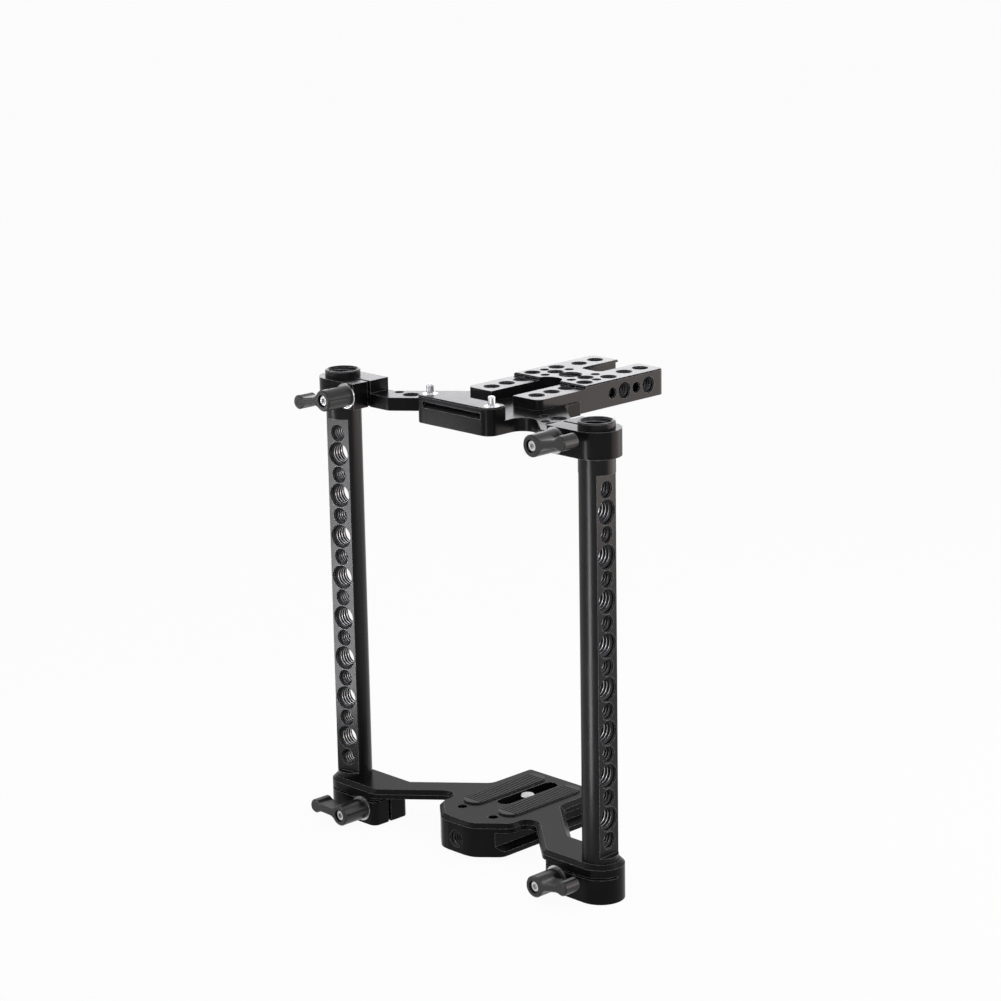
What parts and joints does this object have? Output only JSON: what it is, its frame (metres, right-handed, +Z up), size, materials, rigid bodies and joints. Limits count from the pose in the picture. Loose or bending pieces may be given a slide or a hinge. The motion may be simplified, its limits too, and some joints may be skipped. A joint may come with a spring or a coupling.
{
  "type": "camera cage",
  "caption": "Camera cage: a base and a top bracket clamped to upright drilled rods by levers, with an accessory plate, a front rail and a sliding camera screw.",
  "frame": {"origin": "on the flat underside of the base body, on the mid plane, level with the two rod axes", "axes": "+X to the right seen from the front, -Y to the front, +Z up along the rods"},
  "size_m": [0.168, 0.1215, 0.1996],
  "materials": {
    "black_anodised": "satin black anodised",
    "plate_black": "satin black anodised",
    "rod_black": "satin black anodised, turned",
    "lever_black": "black, cast and coated",
    "steel": "turned, bright",
    "dark_steel": "blackened",
    "spring_steel": "drawn wire",
    "rubber": "moulded, matt",
    "nylon": "natural"
  },
  "bodies": {
    "base": {"base_bracket": "black_anodised", "screw_keeper": "plate_black", "keeper_screws": "dark_steel", "camera_pad_left": "rubber", "camera_pad_right": "rubber", "jaw_washer_base_left": "steel", "jaw_washer_base_right": "steel"},
    "top": {"top_bracket": "black_anodised", "accessory_plate": "plate_black", "plate_screws": "dark_steel", "stop_bush_left": "steel", "stop_bush_right": "steel", "stop_spring_left": "spring_steel", "stop_spring_right": "spring_steel", "jaw_washer_top_left": "steel", "jaw_washer_top_right": "steel"},
    "rod_left": {"rod_left": "rod_black"},
    "rod_right": {"rod_right": "rod_black"},
    "stop_pin_left": {"stop_pin_left": "steel"},
    "stop_pin_right": {"stop_pin_right": "steel"},
    "screw_carrier": {"screw_washer": "nylon"},
    "screw_lift": {"screw_clip": "spring_steel"},
    "camera_screw": {"camera_screw": "steel"},
    "lever_clamp_top_left": {"lever_stud_top_left": "dark_steel", "lever_screw_top_left": "steel", "lever_spring_top_left": "spring_steel"},
    "lever_handle_top_left": {"lever_handle_top_left": "lever_black"},
    "lever_clamp_top_right": {"lever_stud_top_right": "dark_steel", "lever_screw_top_right": "steel", "lever_spring_top_right": "spring_steel"},
    "lever_handle_top_right": {"lever_handle_top_right": "lever_black"},
    "lever_clamp_base_left": {"lever_stud_base_left": "dark_steel", "lever_screw_base_left": "steel", "lever_spring_base_left": "spring_steel"},
    "lever_handle_base_left": {"lever_handle_base_left": "lever_black"},
    "lever_clamp_base_right": {"lever_stud_base_right": "dark_steel", "lever_screw_base_right": "steel", "lever_spring_base_right": "spring_steel"},
    "lever_handle_base_right": {"lever_handle_base_right": "lever_black"}
  },
  "joints": [
    {"name": "rod_left_turn", "type": "hinge", "parent": "base", "child": "rod_left", "pos_m": [-0.074, 0, 0.095], "axis": [0, 0, 1], "continuous": true},
    {"name": "rod_right_turn", "type": "hinge", "parent": "base", "child": "rod_right", "pos_m": [0.074, 0, 0.095], "axis": [0, 0, 1], "continuous": true},
    {"name": "top_height", "type": "slide", "parent": "base", "child": "top", "axis": [0, 0, 1], "range_m": [-0.15, 0.0025]},
    {"name": "lever_top_left_turn", "type": "hinge", "parent": "top", "child": "lever_clamp_top_left", "pos_m": [-0.061, -0.017, 0.1876], "axis": [0, -1, 0], "range_deg": [0, 270]},
    {"name": "lever_top_left_pull", "type": "slide", "parent": "lever_clamp_top_left", "child": "lever_handle_top_left", "axis": [0, -1, 0], "range_m": [0, 0.0022], "stiffness_N_per_m": 600, "springref_m": -0.002, "deforming": ["lever_spring_top_left"]},
    {"name": "lever_top_right_turn", "type": "hinge", "parent": "top", "child": "lever_clamp_top_right", "pos_m": [0.061, -0.017, 0.1876], "axis": [0, -1, 0], "range_deg": [0, 270]},
    {"name": "lever_top_right_pull", "type": "slide", "parent": "lever_clamp_top_right", "child": "lever_handle_top_right", "axis": [0, -1, 0], "range_m": [0, 0.0022], "stiffness_N_per_m": 600, "springref_m": -0.002, "deforming": ["lever_spring_top_right"]},
    {"name": "lever_base_left_turn", "type": "hinge", "parent": "base", "child": "lever_clamp_base_left", "pos_m": [-0.059, -0.017, 0.0046], "axis": [0, -1, 0], "range_deg": [0, 270]},
    {"name": "lever_base_left_pull", "type": "slide", "parent": "lever_clamp_base_left", "child": "lever_handle_base_left", "axis": [0, -1, 0], "range_m": [0, 0.0022], "stiffness_N_per_m": 600, "springref_m": -0.002, "deforming": ["lever_spring_base_left"]},
    {"name": "lever_base_right_turn", "type": "hinge", "parent": "base", "child": "lever_clamp_base_right", "pos_m": [0.059, -0.017, 0.0046], "axis": [0, -1, 0], "range_deg": [0, 270]},
    {"name": "lever_base_right_pull", "type": "slide", "parent": "lever_clamp_base_right", "child": "lever_handle_base_right", "axis": [0, -1, 0], "range_m": [0, 0.0022], "stiffness_N_per_m": 600, "springref_m": -0.002, "deforming": ["lever_spring_base_right"]},
    {"name": "stop_pin_left_press", "type": "slide", "parent": "top", "child": "stop_pin_left", "axis": [0, 0, -1], "range_m": [0, 0.003], "stiffness_N_per_m": 300, "springref_m": -0.002, "deforming": ["stop_spring_left"]},
    {"name": "stop_pin_right_press", "type": "slide", "parent": "top", "child": "stop_pin_right", "axis": [0, 0, -1], "range_m": [0, 0.003], "stiffness_N_per_m": 300, "springref_m": -0.002, "deforming": ["stop_spring_right"]},
    {"name": "camera_screw_slide", "type": "slide", "parent": "base", "child": "screw_carrier", "axis": [0, 1, 0], "range_m": [-0.0132, 0.0132]},
    {"name": "camera_screw_lift", "type": "slide", "parent": "screw_carrier", "child": "screw_lift", "axis": [0, 0, 1], "range_m": [0, 0.0053]},
    {"name": "camera_screw_turn", "type": "hinge", "parent": "screw_lift", "child": "camera_screw", "pos_m": [0, 0.033, 0.009], "axis": [0, 0, 1], "continuous": true}
  ]
}
